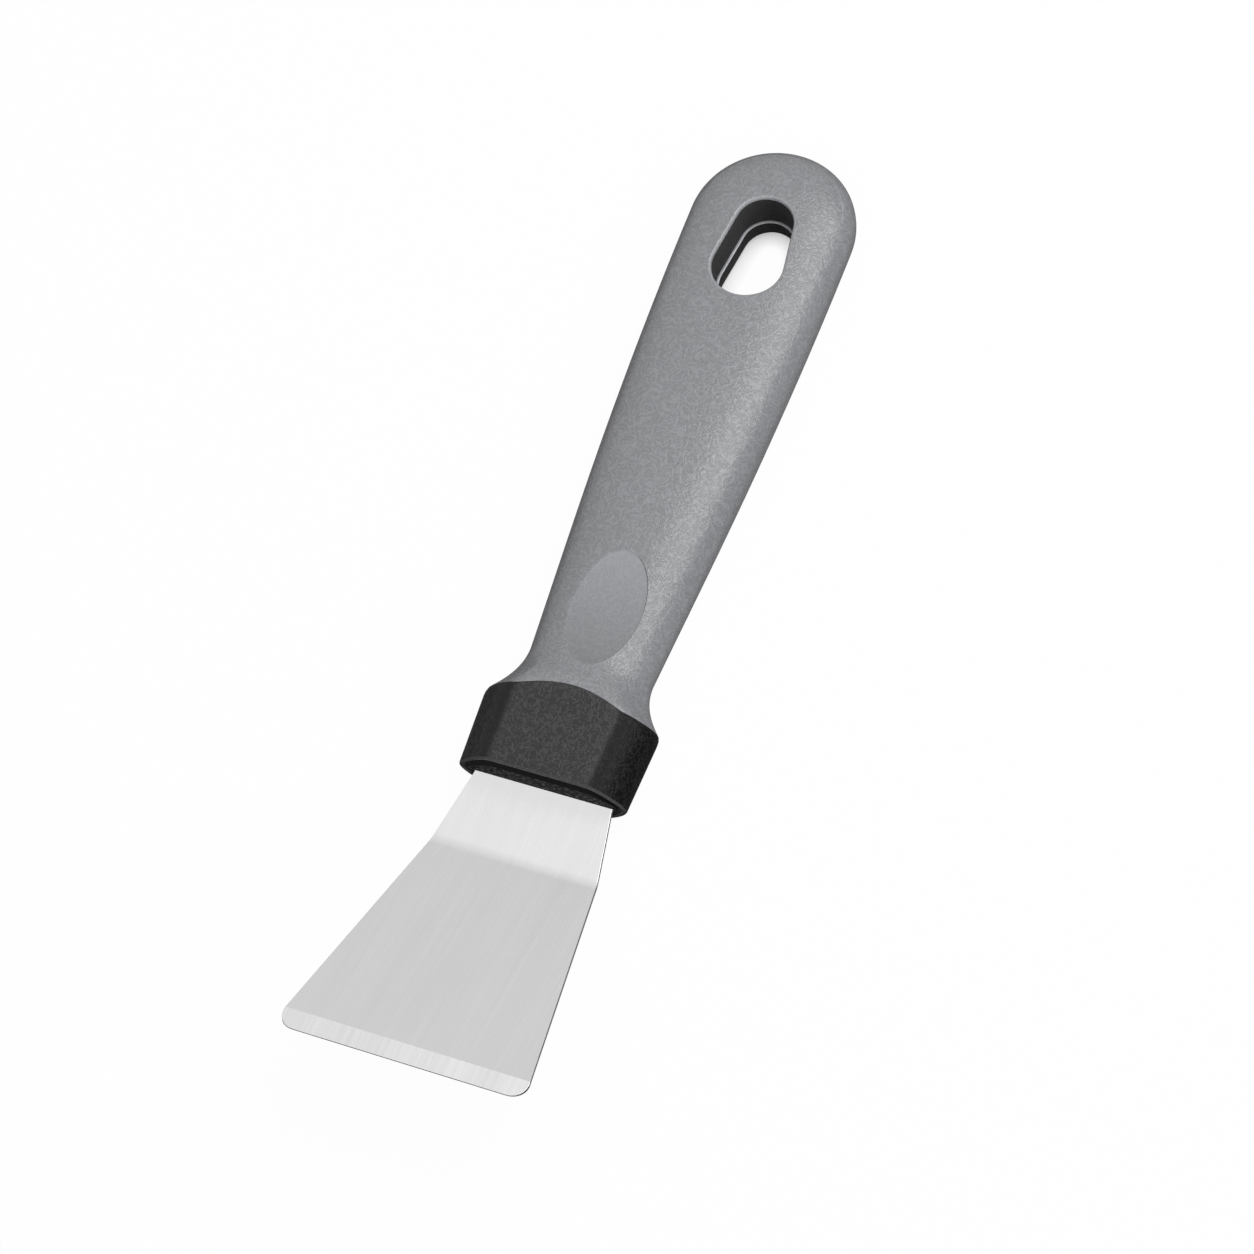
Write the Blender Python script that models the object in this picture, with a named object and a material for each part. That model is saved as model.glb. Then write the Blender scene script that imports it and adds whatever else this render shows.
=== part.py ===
"""Griddle scraper: a cranked steel blade in a moulded two-colour handle.

Y runs along the tool, from the scraping edge (-Y) to the hanging hole (+Y). Z is up, and the
flat underside of the handle rests on Z = 0. X is across, and the tool is the same on both sides.
Lengths along the handle count from the front face of the collar. The empty "scraper" carries
all pieces and moves them so that the middle of the whole length lies at Y = 0.
All sizes are in metres.
"""
import math

import bmesh
import bpy
from mathutils import Vector

# Clearance between two moulded or inserted pieces
GAP = 0.0003

# Handle outline seen from above
HANDLE_LENGTH = 0.1662
COLLAR_LENGTH = 0.0189
COLLAR_FRONT_HALF = 0.0194
COLLAR_REAR_HALF = 0.0203
NECK_HALF = 0.0143
NECK_BEHIND_COLLAR = 0.0113
FLARE_POWER = 2.1
TAIL_HALF = 0.0193
TAIL_LENGTH = 0.0195

# The joint between collar and grip rises to an arch in the middle of the top and underside
ARCH_RISE = 0.0028
ARCH_REACH = 0.63
ARCH_POWER = 1.2
ARCH_FADE = 0.016

# Handle section: heights above and below its middle plane
MIDDLE_HEIGHT = 0.0078
COLLAR_RISE = 0.0082
NECK_RISE = 0.0072
PALM_RISE = 0.0077
TAIL_RISE = 0.0074
PALM_FROM_FRONT = 0.088
CREASE = 0.64
COLLAR_CROWN = 0.07
COLLAR_SIDE_POWER = 0.6
GRIP_SECTION_POWER = 2.6
UNDERSIDE_FLATNESS = 1.06

# The two outer mouldings
OUTER_WALL = 0.0020
LIP_WALL = 0.0011
LIP_ROUND = 0.0006
JOINT_ROUND = 0.00025
MOUTH_DEPTH = 0.0030

# Blade seat: the front end of the core, which shows inside the collar's mouth
SEAT_SETBACK = 0.0008
SEAT_RISE = 0.0027
SEAT_FALL = 0.0045

# Hanging hole: a slot that narrows towards the tail, lined by the core
HOLE_FROM_TAIL = 0.0225
HOLE_SPREAD = 0.0111
HOLE_WIDE_RADIUS = 0.0082
HOLE_NARROW_RADIUS = 0.0067
HOLE_LEDGE = 0.0004
EYELET_WALL = 0.0014
EYELET_STOCK = 0.0017
RIM_LIP = 0.0009
RIM_ROUND = 0.0006
RIM_TURN = math.radians(80)

# Thumb dish in the top of the grip
DISH_FROM_FRONT = 0.0419
DISH_HALF_LENGTH = 0.0142
DISH_HALF_WIDTH = 0.0076
DISH_DEPTH = 0.0011
DISH_POWER = 2.4

# Blade: one stamped and bent sheet
BLADE_THICKNESS = 0.0012
BLADE_BELOW_MIDDLE = 0.0010
BLADE_NECK_HALF = 0.0159
BLADE_BEND_HALF = 0.0190
BLADE_EDGE_HALF = 0.0278
BLADE_NECK_LENGTH = 0.0172
BLADE_FACE_LENGTH = 0.0600
BLADE_BEND_ANGLE = math.radians(21.5)
BLADE_BEND_RADIUS = 0.0080
BLADE_CORNER_RADIUS = 0.0036
BEVEL_LENGTH = 0.0043
BEVEL_EDGE_THICKNESS = 0.0003

# Tang: the hidden end of the blade inside the core, held by two posts
SHOULDER_DEPTH = 0.0090
SHOULDER_FILLET = 0.0030
SHOULDER_SLOPE = 0.0006
TANG_LENGTH = 0.0780
TANG_ROOT_HALF = 0.0085
TANG_TIP_HALF = 0.0060
TANG_HOLE_RADIUS = 0.0030
TANG_HOLES_FROM_FRONT = (0.0270, 0.0580)
POST_REACH = 0.0026

# How finely curves are drawn
PLATEAU_STEPS = 3
SIDE_STEPS = 6
SIDE_CROWDING = 2.2
COLLAR_STEPS = 7
CORE_FRONT_STEPS = 5
FLARE_STEPS = 7
SHAFT_STEPS = 15
TAIL_STEPS = 11
HOLE_STEPS = 14
ROUND_STEPS = 3
BEND_STEPS = 6
CORNER_STEPS = 6
POST_SIDES = 28
DISH_SIDES = 40
DISH_RINGS = 5
SMOOTH_ANGLE = math.radians(32)

# Cutters reach past the faces that they open, and seams weld at points that lie together
CUTTER_MARGIN = 0.004
WELD_DISTANCE = 0.00001
SEAM_DISTANCE = 0.000001

NECK_Y = COLLAR_LENGTH + NECK_BEHIND_COLLAR
TAIL_Y = HANDLE_LENGTH - TAIL_LENGTH
HOLE_NARROW_Y = HANDLE_LENGTH - HOLE_FROM_TAIL
HOLE_WIDE_Y = HOLE_NARROW_Y - HOLE_SPREAD
COLLAR_END = COLLAR_LENGTH - 0.5 * GAP
GRIP_START = COLLAR_LENGTH + 0.5 * GAP
SEAT_END = MOUTH_DEPTH + GAP
CORE_INSET = OUTER_WALL + GAP
BLADE_TOP = MIDDLE_HEIGHT - BLADE_BELOW_MIDDLE
BLADE_UNDERSIDE = BLADE_TOP - BLADE_THICKNESS
BLADE_LENGTH = BLADE_NECK_LENGTH + BLADE_FACE_LENGTH
BEND_ARC = BLADE_BEND_RADIUS * BLADE_BEND_ANGLE
BEND_START = BLADE_NECK_LENGTH - 0.5 * BEND_ARC
BEVEL_START = BLADE_LENGTH - BEVEL_LENGTH
CORNER_START = BLADE_LENGTH - BLADE_CORNER_RADIUS


def blend(start, end, share):
    """Eased step from start to end, with share clamped to 0..1."""
    share = min(max(share, 0.0), 1.0)
    return start + (end - start) * (0.5 - 0.5 * math.cos(math.pi * share))


def steps_between(start, end, count):
    """Evenly spaced values after start, up to and including end."""
    return [start + (end - start) * step / count for step in range(1, count + 1)]


def half_width(y):
    """Half width of the handle at y, up to where the round tail starts."""
    if y <= COLLAR_LENGTH:
        return COLLAR_FRONT_HALF + (COLLAR_REAR_HALF - COLLAR_FRONT_HALF) * y / COLLAR_LENGTH
    if y < NECK_Y:
        share = (NECK_Y - y) / NECK_BEHIND_COLLAR
        return NECK_HALF + (COLLAR_REAR_HALF - NECK_HALF) * share ** FLARE_POWER
    share = min((y - NECK_Y) / (TAIL_Y - NECK_Y), 1.0)
    return NECK_HALF + (TAIL_HALF - NECK_HALF) * math.sin(0.5 * math.pi * share)


def top_rise(y):
    """Height of the handle's top line above its middle plane."""
    if y <= NECK_Y:
        return blend(COLLAR_RISE, NECK_RISE, (y - COLLAR_LENGTH) / NECK_BEHIND_COLLAR)
    if y <= PALM_FROM_FRONT:
        return blend(NECK_RISE, PALM_RISE, (y - NECK_Y) / (PALM_FROM_FRONT - NECK_Y))
    return blend(PALM_RISE, TAIL_RISE, (y - PALM_FROM_FRONT) / (TAIL_Y - PALM_FROM_FRONT))


def section_shape(reach, y):
    """Share of the full rise and of the full fall at a share of the half width."""
    side = 1.0 - max(reach - CREASE, 0.0) / (1.0 - CREASE)
    collar = max(side, 0.0) ** COLLAR_SIDE_POWER
    crown = 1.0 - COLLAR_CROWN * min(reach / CREASE, 1.0) ** 2
    grip = max(1.0 - reach ** GRIP_SECTION_POWER, 0.0) ** (1.0 / GRIP_SECTION_POWER)
    underside = min(grip * UNDERSIDE_FLATNESS, 1.0)
    share = (y - COLLAR_LENGTH) / NECK_BEHIND_COLLAR
    return blend(collar * crown, grip, share), blend(collar, underside, share)


def arch(reach, y):
    """How far a point of the station y is drawn back by the arch of the joint."""
    if reach >= ARCH_REACH:
        return 0.0
    bulge = ARCH_RISE * (1.0 - (reach / ARCH_REACH) ** 2) ** ARCH_POWER
    if y <= COLLAR_LENGTH:
        return bulge * blend(0.0, 1.0, (y - SEAT_END) / (COLLAR_LENGTH - SEAT_END))
    return bulge * blend(1.0, 0.0, (y - COLLAR_LENGTH) / ARCH_FADE)


def reach_levels():
    """Shares of the half width from the middle to the edge, crowded at the edge."""
    plateau = [CREASE * step / PLATEAU_STEPS for step in range(PLATEAU_STEPS)]
    side = [1.0 - (1.0 - step / SIDE_STEPS) ** SIDE_CROWDING for step in range(SIDE_STEPS + 1)]
    return plateau + [CREASE + (1.0 - CREASE) * share for share in side]


def handle_ring(y, inset=0.0, turn=0.0, rise=None, fall=None):
    """Closed loop of points round the handle at y, drawn in by inset.

    In the round tail, turn is the angle of the outline about the tail's centre.
    """
    half = (half_width(y) - inset) * math.cos(turn)
    out = (TAIL_LENGTH - inset) * math.sin(turn)
    rise = top_rise(y) - inset if rise is None else rise
    fall = MIDDLE_HEIGHT - inset if fall is None else fall
    levels = reach_levels()
    across = [-reach for reach in reversed(levels)] + levels[1:]
    loop = []
    for reach in across:
        up = section_shape(abs(reach), y)[0]
        along = y + arch(abs(reach), y) + out * abs(reach)
        loop.append(Vector((half * reach, along, MIDDLE_HEIGHT + rise * up)))
    for reach in reversed(across[1:-1]):
        down = section_shape(abs(reach), y)[1]
        along = y + arch(abs(reach), y) + out * abs(reach)
        loop.append(Vector((half * reach, along, MIDDLE_HEIGHT - fall * down)))
    return loop


def grip_stations():
    """Stations from the joint to the tail, closest together in the flare."""
    flare = steps_between(GRIP_START, NECK_Y, FLARE_STEPS)
    return [GRIP_START] + flare + steps_between(NECK_Y, TAIL_Y, SHAFT_STEPS)


def tail_rings(inset):
    """Rings that turn the outline round the tail and close it."""
    return [handle_ring(TAIL_Y, inset, turn)
            for turn in steps_between(0.0, 0.5 * math.pi, TAIL_STEPS)]


def surface_height(x, y, side):
    """Height of the grip's top (side 1) or underside (side -1) behind the joint."""
    if y <= TAIL_Y:
        reach = abs(x) / half_width(y)
    else:
        reach = math.hypot(x / TAIL_HALF, (y - TAIL_Y) / TAIL_LENGTH)
    station = min(y, TAIL_Y)
    up, down = section_shape(min(reach, 1.0), station)
    if side > 0:
        return MIDDLE_HEIGHT + top_rise(station) * up
    return MIDDLE_HEIGHT - MIDDLE_HEIGHT * down


def slot_outline(offset):
    """Outline of the hanging hole, drawn out by offset: two arcs and their tangents."""
    wide = HOLE_WIDE_RADIUS + offset
    narrow = HOLE_NARROW_RADIUS + offset
    tilt = math.asin((wide - narrow) / HOLE_SPREAD)
    points = []
    for centre, radius, first, last in (
            (HOLE_NARROW_Y, narrow, tilt, math.pi - tilt),
            (HOLE_WIDE_Y, wide, math.pi - tilt, 2.0 * math.pi + tilt)):
        for angle in [first] + steps_between(first, last, HOLE_STEPS):
            points.append((radius * math.cos(angle), centre + radius * math.sin(angle)))
    return points


def slot_ring(offset, side, above):
    """Loop of the slot's outline at a height above the grip's top or below its underside."""
    return [Vector((x, y, surface_height(x, y, side) + side * above))
            for x, y in slot_outline(offset)]


def new_object(name, builder, finish=None):
    """Make an object from a filled bmesh; without a finish it is a hidden cutter."""
    bmesh.ops.recalc_face_normals(builder, faces=builder.faces)
    mesh = bpy.data.meshes.new(name)
    builder.to_mesh(mesh)
    builder.free()
    mesh.shade_smooth()
    mesh.set_sharp_from_angle(angle=SMOOTH_ANGLE)
    obj = bpy.data.objects.new(name, mesh)
    bpy.context.scene.collection.objects.link(obj)
    obj.parent = bpy.data.objects["scraper"]
    if finish:
        mesh.materials.append(finish)
    else:
        obj.hide_render = True
        obj.display_type = "WIRE"
    return obj


def loft(rings, closed=False, caps=True):
    """Skin a list of equal loops; closed joins the last loop to the first."""
    builder = bmesh.new()
    loops = [[builder.verts.new(point) for point in ring] for ring in rings]
    pairs = list(zip(loops, loops[1:]))
    if closed:
        pairs.append((loops[-1], loops[0]))
    for near, far in pairs:
        for index in range(len(near)):
            after = (index + 1) % len(near)
            builder.faces.new((near[index], near[after], far[after], far[index]))
    if caps and not closed:
        builder.faces.new(loops[0])
        builder.faces.new(loops[-1])
    return builder


def close_poles(builder):
    """Join the points of a loft that meet, as at the tail's tip or a bowl's middle."""
    bmesh.ops.remove_doubles(builder, verts=builder.verts, dist=SEAM_DISTANCE)
    bmesh.ops.dissolve_degenerate(builder, edges=builder.edges, dist=SEAM_DISTANCE)
    return builder


def cut(obj, cutter, operation="DIFFERENCE"):
    """Add a live Boolean modifier, and a weld for the tiny edges that it leaves."""
    modifier = obj.modifiers.new(cutter.name, "BOOLEAN")
    modifier.operation = operation
    modifier.solver = "EXACT"
    modifier.object = cutter
    weld = obj.modifiers.new(f"{cutter.name}_weld", "WELD")
    weld.merge_threshold = WELD_DISTANCE


def box(name, low, high):
    """Closed box between two corners, used as a cutter."""
    builder = bmesh.new()
    bmesh.ops.create_cube(builder, size=1.0)
    low, high = Vector(low), Vector(high)
    for vert in builder.verts:
        vert.co = Vector(low[axis] + (vert.co[axis] + 0.5) * (high[axis] - low[axis])
                         for axis in range(3))
    return new_object(name, builder)


def post(name, centre_y, radius, bottom, top):
    """Upright round cutter or added post at X = 0."""
    builder = bmesh.new()
    bmesh.ops.create_cone(builder, cap_ends=True, segments=POST_SIDES, radius1=radius,
                          radius2=radius, depth=top - bottom)
    bmesh.ops.translate(builder, verts=builder.verts, vec=(0.0, centre_y, 0.5 * (top + bottom)))
    return new_object(name, builder)


def plain_finish(name, colour, roughness, metallic):
    """Material with one base colour."""
    finish = bpy.data.materials.new(name)
    finish.use_nodes = True
    shader = finish.node_tree.nodes["Principled BSDF"]
    shader.inputs["Base Color"].default_value = (*colour, 1.0)
    shader.inputs["Roughness"].default_value = roughness
    shader.inputs["Metallic"].default_value = metallic
    return finish


def blade_half(s):
    """Half width of the blank, s metres ahead of the collar's front face."""
    if s <= BLADE_NECK_LENGTH:
        return BLADE_NECK_HALF + (BLADE_BEND_HALF - BLADE_NECK_HALF) * s / BLADE_NECK_LENGTH
    share = (s - BLADE_NECK_LENGTH) / BLADE_FACE_LENGTH
    half = BLADE_BEND_HALF + (BLADE_EDGE_HALF - BLADE_BEND_HALF) * share
    into_corner = max(s - CORNER_START, 0.0)
    chord = max(BLADE_CORNER_RADIUS ** 2 - into_corner ** 2, 0.0)
    return half - BLADE_CORNER_RADIUS + math.sqrt(chord)


def tang_outline():
    """Depth and half width of the hidden end of the blank, from its tip to its shoulders."""
    quarter = 0.5 * math.pi
    tip_start = TANG_LENGTH - TANG_TIP_HALF
    outline = []
    for angle in steps_between(0.0, quarter, CORNER_STEPS):
        outline.append((tip_start + TANG_TIP_HALF * math.cos(angle),
                        TANG_TIP_HALF * math.sin(angle)))
    for angle in [0.0] + steps_between(0.0, quarter, CORNER_STEPS):
        outline.append((SHOULDER_DEPTH + SHOULDER_FILLET * (1.0 - math.sin(angle)),
                        TANG_ROOT_HALF + SHOULDER_FILLET * (1.0 - math.cos(angle))))
    return outline + [(SHOULDER_DEPTH - SHOULDER_SLOPE, BLADE_NECK_HALF)]


def bend(s, height):
    """Place a point of the flat blank on the bent blade; height is over its underside."""
    angle = min(max(s - BEND_START, 0.0) / BEND_ARC, 1.0) * BLADE_BEND_ANGLE
    beyond = max(s - BEND_START - BEND_ARC, 0.0)
    run = min(s, BEND_START) + BLADE_BEND_RADIUS * math.sin(angle) + beyond * math.cos(angle)
    climb = BLADE_BEND_RADIUS * (1.0 - math.cos(angle)) + beyond * math.sin(angle)
    return (-(run + (BLADE_THICKNESS - height) * math.sin(angle)),
            BLADE_TOP + climb - (BLADE_THICKNESS - height) * math.cos(angle))


def make_blade(steel):
    """Stamped blank with its ground bevel, bent up ahead of the collar, pierced tang."""
    corner = [CORNER_START + BLADE_CORNER_RADIUS * math.sin(angle)
              for angle in [0.0] + steps_between(0.0, 0.5 * math.pi, CORNER_STEPS)]
    curve = steps_between(BEND_START, BEND_START + BEND_ARC, BEND_STEPS)
    stations = sorted([0.0, BEND_START, BEVEL_START] + curve + corner)
    outline = [(-depth, half) for depth, half in tang_outline()]
    outline += [(s, blade_half(s)) for s in stations]
    rings = []
    for s, half in outline:
        ground = max(s - BEVEL_START, 0.0) / BEVEL_LENGTH
        top = BLADE_THICKNESS + (BEVEL_EDGE_THICKNESS - BLADE_THICKNESS) * ground
        ring = []
        for x, height in ((-half, top), (half, top), (half, 0.0), (-half, 0.0)):
            y, z = bend(s, height)
            ring.append(Vector((x, y, z)))
        rings.append(ring)
    blade = new_object("blade", loft(rings), steel)
    for number, hole_y in enumerate(TANG_HOLES_FROM_FRONT, 1):
        cut(blade, post(f"tang_hole_{number}", hole_y, TANG_HOLE_RADIUS,
                        BLADE_UNDERSIDE - CUTTER_MARGIN, BLADE_TOP + CUTTER_MARGIN))


def make_collar(black):
    """Open sleeve with a rounded lip round its mouth and an arched rear end."""
    outer = [handle_ring(LIP_ROUND * (1.0 - math.cos(angle)), LIP_ROUND * (1.0 - math.sin(angle)))
             for angle in [0.0] + steps_between(0.0, 0.5 * math.pi, ROUND_STEPS)]
    body = steps_between(LIP_ROUND, COLLAR_END - JOINT_ROUND, COLLAR_STEPS)
    outer += [handle_ring(y) for y in body]
    outer.append(handle_ring(COLLAR_END, JOINT_ROUND))
    inner = [handle_ring(COLLAR_END, OUTER_WALL)]
    inner += [handle_ring(y, OUTER_WALL)
              for y in steps_between(COLLAR_END, MOUTH_DEPTH, COLLAR_STEPS)]
    inner += [handle_ring(MOUTH_DEPTH, LIP_WALL), handle_ring(0.0, LIP_WALL)]
    new_object("collar", loft(outer + inner, closed=True), black)


def core_shape():
    """Solid that fills collar and grip, with the low blade seat at its front."""
    rings = [handle_ring(y, CORE_INSET, rise=SEAT_RISE, fall=SEAT_FALL)
             for y in (SEAT_SETBACK, SEAT_END)]
    rings.append(handle_ring(SEAT_END, CORE_INSET))
    rings += [handle_ring(y, CORE_INSET)
              for y in steps_between(SEAT_END, COLLAR_LENGTH, CORE_FRONT_STEPS)]
    rings += [handle_ring(y, CORE_INSET) for y in grip_stations()[1:]]
    rings += tail_rings(CORE_INSET)
    builder = loft(rings, caps=False)
    builder.verts.ensure_lookup_table()
    builder.faces.new(builder.verts[:len(rings[0])])
    return close_poles(builder)


def eyelet(name, offset, lip):
    """Tube round the hanging hole, under the grip's top and underside by lip."""
    rings = [slot_ring(-EYELET_STOCK, -1, -lip), slot_ring(offset, -1, -lip),
             slot_ring(offset, 1, -lip), slot_ring(-EYELET_STOCK, 1, -lip)]
    return new_object(name, loft(rings, closed=True))


def slot_cutter(name, offset):
    """Straight cutter for the hanging hole."""
    rings = [slot_ring(offset, -1, CUTTER_MARGIN), slot_ring(offset, 1, CUTTER_MARGIN)]
    return new_object(name, loft(rings))


def tang_pocket():
    """Room for the blade's neck and tang in the upper half of the core."""
    outline = [(depth + GAP, half + GAP) for depth, half in tang_outline()]
    outline.append((-CUTTER_MARGIN, BLADE_NECK_HALF + GAP))
    low, high = BLADE_UNDERSIDE - CUTTER_MARGIN, BLADE_TOP + GAP
    rings = [[Vector((-half, y, high)), Vector((half, y, high)),
              Vector((half, y, low)), Vector((-half, y, low))] for y, half in outline]
    return new_object("tang_pocket", loft(rings))


def make_core(black):
    """Two halves that close on the blade, parted under it, and line the hanging hole."""
    shape = core_shape()
    width, length = COLLAR_REAR_HALF + CUTTER_MARGIN, HANDLE_LENGTH + CUTTER_MARGIN
    ceiling = MIDDLE_HEIGHT + COLLAR_RISE + CUTTER_MARGIN
    upper_half = box("upper_half", (-width, -CUTTER_MARGIN, BLADE_UNDERSIDE),
                     (width, length, ceiling))
    lower_half = box("lower_half", (-width, -CUTTER_MARGIN, -CUTTER_MARGIN),
                     (width, length, BLADE_UNDERSIDE - GAP))
    tube = eyelet("core_eyelet", EYELET_WALL, RIM_LIP + GAP)
    upper = new_object("core_upper", shape.copy(), black)
    lower = new_object("core_lower", shape, black)
    for half, space, ledge in ((upper, upper_half, 0.0), (lower, lower_half, HOLE_LEDGE)):
        cut(half, tube, "UNION")
        cut(half, space, "INTERSECT")
        cut(half, slot_cutter(f"{half.name}_hole", -ledge))
    cut(upper, tang_pocket())
    foot = BLADE_UNDERSIDE - GAP - POST_REACH
    for number, hole_y in enumerate(TANG_HOLES_FROM_FRONT, 1):
        cut(upper, post(f"post_{number}", hole_y, TANG_HOLE_RADIUS - GAP, foot,
                        BLADE_TOP + 2.0 * GAP), "UNION")
        cut(lower, post(f"socket_{number}", hole_y, TANG_HOLE_RADIUS, foot - GAP, BLADE_TOP))


def rim_cutter():
    """Cutter for the grip's hole, flared so that both rims come out rounded."""
    flare = [(RIM_ROUND * (1.0 - math.cos(angle)), RIM_ROUND * (math.sin(angle) - 1.0))
             for angle in [0.0] + steps_between(0.0, RIM_TURN, ROUND_STEPS)]
    flare.append((RIM_ROUND, CUTTER_MARGIN))
    rings = [slot_ring(offset, -1, above) for offset, above in reversed(flare)]
    rings += [slot_ring(offset, 1, above) for offset, above in flare]
    return new_object("rim_cutter", loft(rings))


def dish_ring(share):
    """Loop of the dish's floor at a share of its size, following the grip's top."""
    ring = []
    for turn in steps_between(0.0, 2.0 * math.pi, DISH_SIDES):
        x = share * DISH_HALF_WIDTH * math.cos(turn)
        y = DISH_FROM_FRONT + share * DISH_HALF_LENGTH * math.sin(turn)
        floor = surface_height(x, y, 1) - DISH_DEPTH * (1.0 - share ** DISH_POWER)
        ring.append(Vector((x, y, floor)))
    return ring


def dish_cutter():
    """Bowl deepest in its middle, with a crisp rim where it leaves the grip's top."""
    shares = [0.0] + steps_between(0.0, 1.0, DISH_RINGS) + [1.0 + 1.0 / DISH_RINGS]
    rings = [dish_ring(share) for share in shares]
    ceiling = MIDDLE_HEIGHT + PALM_RISE + CUTTER_MARGIN
    rings.append([Vector((point.x, point.y, ceiling)) for point in rings[-1]])
    rings.append([Vector((0.0, DISH_FROM_FRONT, ceiling))] * DISH_SIDES)
    return new_object("dish_cutter", close_poles(loft(rings, caps=False)))


def make_grip(grey):
    """Soft outer shell over the core, open at the front and round the hanging hole."""
    stations = grip_stations()
    outer = [handle_ring(GRIP_START, JOINT_ROUND), handle_ring(GRIP_START + JOINT_ROUND)]
    outer += [handle_ring(y) for y in stations[1:]] + tail_rings(0.0)
    inner = [handle_ring(y, OUTER_WALL) for y in stations] + tail_rings(OUTER_WALL)
    builder = loft(outer, caps=False)
    inside = [[builder.verts.new(point) for point in ring] for ring in inner]
    builder.verts.ensure_lookup_table()
    mouth = builder.verts[:len(outer[0])]
    for near, far in [(inside[0], mouth)] + list(zip(inside[1:], inside)):
        for index in range(len(near)):
            after = (index + 1) % len(near)
            builder.faces.new((near[index], near[after], far[after], far[index]))
    grip = new_object("grip", close_poles(builder), grey)
    cut(grip, eyelet("eyelet_room", EYELET_WALL + GAP, RIM_LIP))
    cut(grip, rim_cutter())
    cut(grip, dish_cutter())


def main():
    for old in list(bpy.data.objects):
        bpy.data.objects.remove(old, do_unlink=True)
    edge_y = bend(BLADE_LENGTH, 0.0)[0]
    root = bpy.data.objects.new("scraper", None)
    bpy.context.scene.collection.objects.link(root)
    root.location = (0.0, -0.5 * (HANDLE_LENGTH + edge_y), 0.0)
    steel = plain_finish("brushed_steel", (0.62, 0.62, 0.62), 0.34, 1.0)
    black = plain_finish("black_plastic", (0.018, 0.018, 0.019), 0.55, 0.0)
    grey = plain_finish("grey_rubber", (0.262, 0.265, 0.278), 0.62, 0.0)
    make_blade(steel)
    make_collar(black)
    make_core(black)
    make_grip(grey)


main()
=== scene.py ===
"""Griddle scraper: blade, collar, core and grip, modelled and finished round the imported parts.

Y runs from the scraping edge (-Y) to the hanging hole (+Y), Z is up, and the handle's flat
underside rests on Z = 0. Lengths along the handle count from the front face of the collar.
All sizes are in metres.
"""
from math import asin, atan, copysign, cos, exp, hypot, log1p, pi, radians, sin, sqrt, tan

import bmesh
import bpy
from mathutils import Matrix, Vector


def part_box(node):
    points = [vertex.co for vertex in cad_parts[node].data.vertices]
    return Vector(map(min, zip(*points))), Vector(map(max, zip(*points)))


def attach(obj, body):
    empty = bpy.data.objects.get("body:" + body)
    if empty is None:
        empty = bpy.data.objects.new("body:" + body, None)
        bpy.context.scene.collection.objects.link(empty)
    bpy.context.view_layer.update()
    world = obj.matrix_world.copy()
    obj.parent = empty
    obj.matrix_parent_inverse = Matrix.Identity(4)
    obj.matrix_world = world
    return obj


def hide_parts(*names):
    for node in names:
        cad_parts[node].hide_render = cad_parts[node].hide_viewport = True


bl_info = {
    "name": "Griddle scraper",
    "version": (1, 0, 0),
    "blender": (4, 5, 0),
    "location": "3D View > Sidebar > Scraper",
    "description": "Models a scraper with a cranked blade and a moulded handle",
    "category": "Add Mesh",
}

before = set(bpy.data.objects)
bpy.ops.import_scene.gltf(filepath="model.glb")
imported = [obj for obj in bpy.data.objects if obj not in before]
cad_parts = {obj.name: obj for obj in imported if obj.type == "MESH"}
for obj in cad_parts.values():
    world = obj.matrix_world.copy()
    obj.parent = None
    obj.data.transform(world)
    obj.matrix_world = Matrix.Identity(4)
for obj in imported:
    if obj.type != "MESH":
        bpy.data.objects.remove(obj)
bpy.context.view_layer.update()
FRONT_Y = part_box("collar")[0].y
HANDLE_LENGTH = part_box("grip")[1].y - FRONT_Y

# How finely curves are drawn
RING_POINTS = 128
FLARE_STEPS = 16
SHAFT_STEPS = 70
TAIL_STEPS = 64
COLLAR_STEPS = 20
CORE_FRONT_STEPS = 10
ROUND_STEPS = 5
RIM_STEPS = 7
SLOT_STEPS = 40
DISH_POINTS = 96
DISH_STEPS = 12
DISH_MIDDLE = 0.2
BEND_STEPS = 16
CORNER_STEPS = 12
FILLET_STEPS = 8
POST_SIDES = 48
START_RADIUS = 0.01

# Turns of roundings, and the angles up to which faces are shaded as one
RIGHT_ANGLE = 0.5 * pi
RIM_TURN = radians(84)
CORNER_SWEEP = 0.9
OUTLINE_ANGLE = radians(60)
SMOOTH_ANGLE = radians(30)
SHEET_SMOOTH_ANGLE = radians(20)

# Cutters reach past the faces that they open, and seams close at points that lie together
CUTTER_MARGIN = 0.004
CUTTER_FLOOR = -0.01
CUTTER_CEILING = 0.03
MERGE_DISTANCE = 0.000001
CUT_MERGE_DISTANCE = 0.000005
LINE_TOLERANCE = 0.00002

# Lengths of the steel's marks along X, Y and Z, where 0 means without end
FINE_BRUSH = (0.00030, 0.060, 0.0)
BROAD_BRUSH = (0.0035, 0.060, 0.0)
STEEL_CLOUD = (0.012, 0.018, 0.02)
GRINDING = (0.0011, 0.040, 0.0)
GRINDING_BAND = (0.008, 0.5, 0.0)

# Sizes of the moulded marks
GRIP_CLOUD = (0.018, 0.030, 0.018)
CORE_CRUMB = (0.0011, 0.0011, 0.0007)
CORE_SPECK = 0.0004

# Where a look starts and ends, in metres from the bevel's line, out of the hole's outline,
# behind the joint, over the table, behind the lip and behind the mouth
BEVEL_FADE = 0.00004
# RIM_FADE, BEAD_FADE, JOINT_FADE and LIP_FADE bound painted highlights, and MOUTH_FADE bounds
# painted shade
RIM_FADE = (0.0003, 0.0008)
BEAD_FADE = (-0.0004, -0.0001)
JOINT_FADE = (0.003, 0.004)
TOP_FADE = (0.009, 0.011)
LIP_FADE = (0.0004, 0.0010)
MOUTH_FADE = (0.006, 0.008)
SHADOW_FADE = (0.0, 0.001)

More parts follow.
